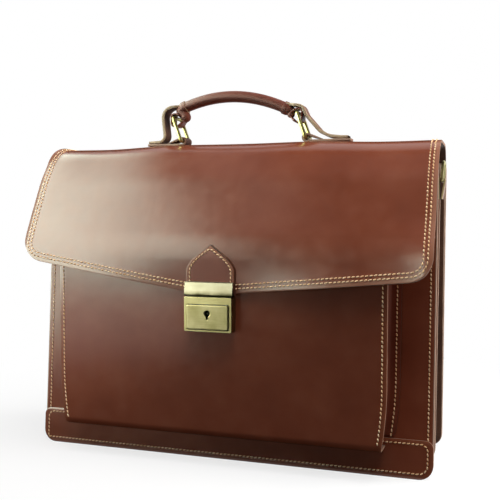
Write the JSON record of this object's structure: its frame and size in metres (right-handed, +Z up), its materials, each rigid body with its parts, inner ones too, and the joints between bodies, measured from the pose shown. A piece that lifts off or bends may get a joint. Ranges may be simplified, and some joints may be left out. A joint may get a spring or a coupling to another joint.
{
  "type": "leather briefcase",
  "caption": "Leather document briefcase with a full flap, a front pocket, a push lock, a rolled handle on leaning rings and strap rings at the sides.",
  "frame": {"origin": "on the floor under the middle of the divider's bottom edge", "axes": "+X to the right seen from the front, +Y to the back, +Z up"},
  "size_m": [0.4078, 0.1541, 0.3649],
  "materials": {
    "leather": "glossy chestnut vegetable-tanned leather, fine vertical grain, golden saddle stitching",
    "gusset_leather": "dark brown gusset leather, cut edges left tan",
    "strap_leather": "brown strap leather with raw tan edges",
    "brass": "antique brass, satin on the lock and polished on the rings",
    "steel": "plain spring steel",
    "cord_core": "twisted cotton cord",
    "board": "pressed fibre board"
  },
  "bodies": {
    "case": {"back_panel": "leather", "front_panel": "leather", "divider_panel": "leather", "gusset_front_left": "gusset_leather", "gusset_front_right": "gusset_leather", "gusset_front_base": "gusset_leather", "gusset_rear_left": "gusset_leather", "gusset_rear_right": "gusset_leather", "gusset_rear_base": "gusset_leather", "pocket_panel": "leather", "pocket_gusset_left": "gusset_leather", "pocket_gusset_right": "gusset_leather", "lock_case": "brass", "lock_backing_plate": "steel", "plate_spring_left": "steel", "plate_spring_right": "steel", "flap_yoke": "leather", "flap_bend": "leather", "side_tab_left": "strap_leather", "side_tab_right": "strap_leather"},
    "flap": {"flap": "leather", "lock_tab": "leather", "hasp_plate": "brass", "flap_stiffener": "board", "handle_base_left": "strap_leather", "handle_base_right": "strap_leather", "handle_strap_left": "strap_leather", "handle_strap_right": "strap_leather"},
    "handle": {"handle_grip": "leather", "handle_core": "cord_core", "handle_loop_left": "strap_leather", "handle_loop_right": "strap_leather"},
    "ring_left": {"handle_ring_left": "brass"},
    "ring_right": {"handle_ring_right": "brass"},
    "push_plate": {"push_plate": "brass"},
    "catch": {"catch_bar": "steel"},
    "barrel": {"key_barrel": "brass"},
    "side_ring_left": {"side_ring_left": "brass"},
    "side_ring_right": {"side_ring_right": "brass"}
  },
  "joints": [
    {"name": "flap_hinge", "type": "hinge", "parent": "case", "child": "flap", "pos_m": [0, 0.0569, 0.292], "axis": [-1, 0, 0], "range_deg": [0, 180], "deforming": ["flap_bend"]},
    {"name": "handle_slide", "type": "slide", "parent": "flap", "child": "handle", "axis": [1, 0, 0], "range_m": [0, 0.01779], "deforming": ["handle_strap_left", "handle_strap_right"]},
    {"name": "ring_left_hinge", "type": "hinge", "parent": "flap", "child": "ring_left", "pos_m": [-0.0631, 0.003, 0.3146], "axis": [0, 1, 0], "range_deg": [0, 40.1]},
    {"name": "ring_right_hinge", "type": "hinge", "parent": "flap", "child": "ring_right", "pos_m": [0.0699, 0.003, 0.3146], "axis": [0, 1, 0], "range_deg": [0, 40.1]},
    {"name": "plate_press", "type": "slide", "parent": "case", "child": "push_plate", "axis": [0, 1, 0], "range_m": [0, 0.0018], "stiffness_N_per_m": 300, "springref_m": -0.002, "deforming": ["plate_spring_left", "plate_spring_right"]},
    {"name": "catch_slide", "type": "slide", "parent": "case", "child": "catch", "axis": [0, 0, -1], "range_m": [0, 0.0018]},
    {"name": "barrel_turn", "type": "hinge", "parent": "case", "child": "barrel", "pos_m": [0, -0.0926, 0.1475], "axis": [0, 1, 0], "range_deg": [0, 90]},
    {"name": "side_ring_left_hinge", "type": "hinge", "parent": "case", "child": "side_ring_left", "pos_m": [-0.2006, 0.01038, 0.2705], "axis": [0, -1, 0], "range_deg": [-8, 160]},
    {"name": "side_ring_right_hinge", "type": "hinge", "parent": "case", "child": "side_ring_right", "pos_m": [0.2006, 0.01038, 0.2705], "axis": [0, 1, 0], "range_deg": [-8, 160]}
  ],
  "couplings": [
    {"joint": "ring_left_hinge", "follows": "handle_slide", "rad_per_m": 39.243},
    {"joint": "ring_right_hinge", "follows": "handle_slide", "rad_per_m": 39.243},
    {"joint": "catch_slide", "follows": "plate_press", "ratio": 1}
  ]
}
